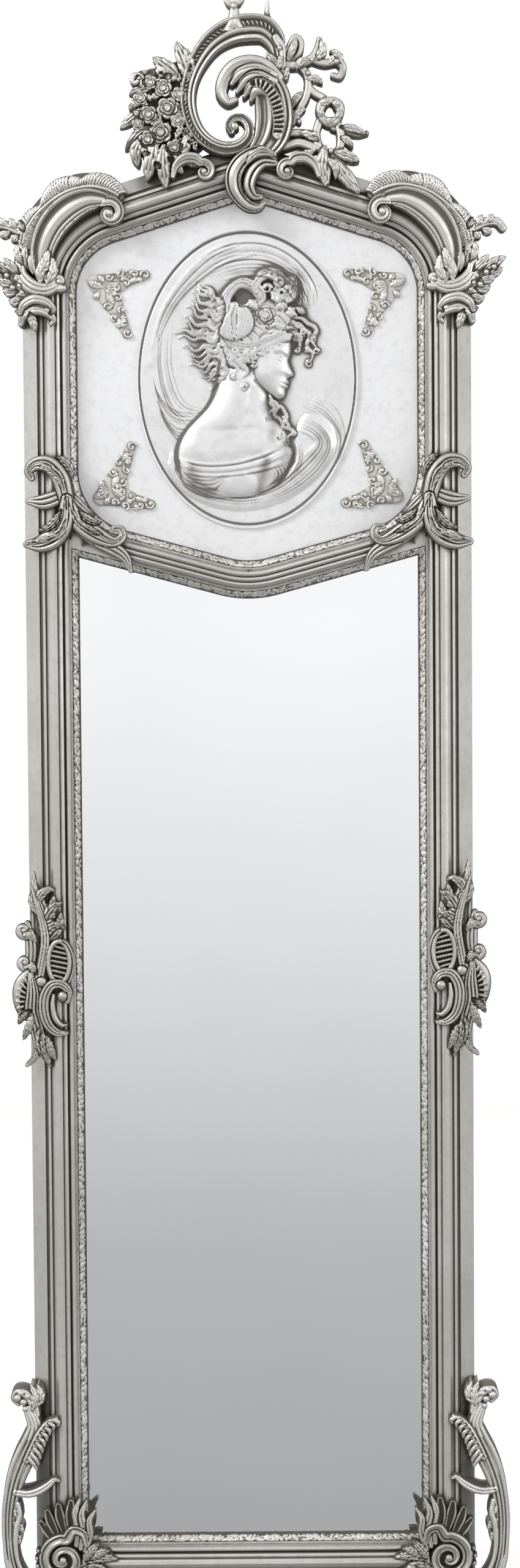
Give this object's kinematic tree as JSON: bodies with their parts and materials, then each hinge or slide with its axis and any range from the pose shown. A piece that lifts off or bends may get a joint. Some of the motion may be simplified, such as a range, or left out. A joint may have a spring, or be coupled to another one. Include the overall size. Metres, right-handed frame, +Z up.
{
  "type": "wall mirror",
  "caption": "Tall wall mirror in a moulded, silver-leafed frame with a portrait panel above the glass, an openwork crest, carved scrolls and swinging hanger rings.",
  "frame": {"origin": "on the wall plane, on the frame's centre line, at the height of the hanger rings' hinge axis", "axes": "+X to the right as seen from the front, +Y into the wall, +Z up"},
  "size_m": [0.602, 0.0582, 1.9003],
  "materials": {
    "silver_leaf": "carved wood with antiqued silver leaf, umber wash in the grooves",
    "pale_silver_leaf": "smooth gesso with pale, rubbed silver leaf",
    "dark_silver_leaf": "carved wood with darker antiqued silver leaf",
    "mirror": "clear float glass, silvered on the back",
    "backboard": "brown hardboard, smooth",
    "plain_wood": "bare pine, planed",
    "steel": "zinc-plated steel, satin"
  },
  "bodies": {
    "frame": {"left_stile": "silver_leaf", "right_stile": "silver_leaf", "bottom_rail": "silver_leaf", "left_shoulder_rail": "silver_leaf", "right_shoulder_rail": "silver_leaf", "left_raking_rail": "silver_leaf", "right_raking_rail": "silver_leaf", "left_transom_rail": "silver_leaf", "right_transom_rail": "silver_leaf", "left_transom_corner": "silver_leaf", "right_transom_corner": "silver_leaf", "left_transom_spandrel": "silver_leaf", "right_transom_spandrel": "silver_leaf", "left_sight_edge": "pale_silver_leaf", "right_sight_edge": "pale_silver_leaf", "bottom_sight_edge": "pale_silver_leaf", "transom_sight_edge": "pale_silver_leaf", "left_panel_edge": "pale_silver_leaf", "right_panel_edge": "pale_silver_leaf", "mirror_glass": "mirror", "mirror_backboard": "backboard", "panel_board": "pale_silver_leaf", "medallion": "pale_silver_leaf", "upper_left_applique": "dark_silver_leaf", "upper_right_applique": "dark_silver_leaf", "lower_left_applique": "dark_silver_leaf", "lower_right_applique": "dark_silver_leaf", "cartouche_ring": "silver_leaf", "s_scroll": "silver_leaf", "crest_clasp": "dark_silver_leaf", "finial": "silver_leaf", "rose_spray": "silver_leaf", "leaf_spray": "silver_leaf", "left_foot_scroll": "silver_leaf", "right_foot_scroll": "silver_leaf", "left_shoulder_scroll": "silver_leaf", "right_shoulder_scroll": "silver_leaf", "left_shoulder_fringe": "silver_leaf", "right_shoulder_fringe": "silver_leaf", "left_shoulder_leaf": "dark_silver_leaf", "right_shoulder_leaf": "dark_silver_leaf", "left_transom_clasp": "dark_silver_leaf", "right_transom_clasp": "dark_silver_leaf", "left_side_ornament": "dark_silver_leaf", "right_side_ornament": "dark_silver_leaf", "left_side_bracket": "silver_leaf", "right_side_bracket": "silver_leaf", "left_corner_shell": "dark_silver_leaf", "right_corner_shell": "dark_silver_leaf", "hanging_batten": "plain_wood", "retaining_strips": "plain_wood", "crest_straps": "steel", "left_hanger_strap": "steel", "right_hanger_strap": "steel", "hanger_screws": "steel", "batten_screws": "steel", "strap_screws": "steel"},
    "left_ring": {"left_hanger_ring": "steel"},
    "right_ring": {"right_hanger_ring": "steel"}
  },
  "joints": [
    {"name": "left_ring_swing", "type": "hinge", "parent": "frame", "child": "left_ring", "pos_m": [-0.229, -0.0045, 0], "axis": [1, 0, 0], "range_deg": [0, 178]},
    {"name": "right_ring_swing", "type": "hinge", "parent": "frame", "child": "right_ring", "pos_m": [0.229, -0.0045, 0], "axis": [1, 0, 0], "range_deg": [0, 178]}
  ]
}
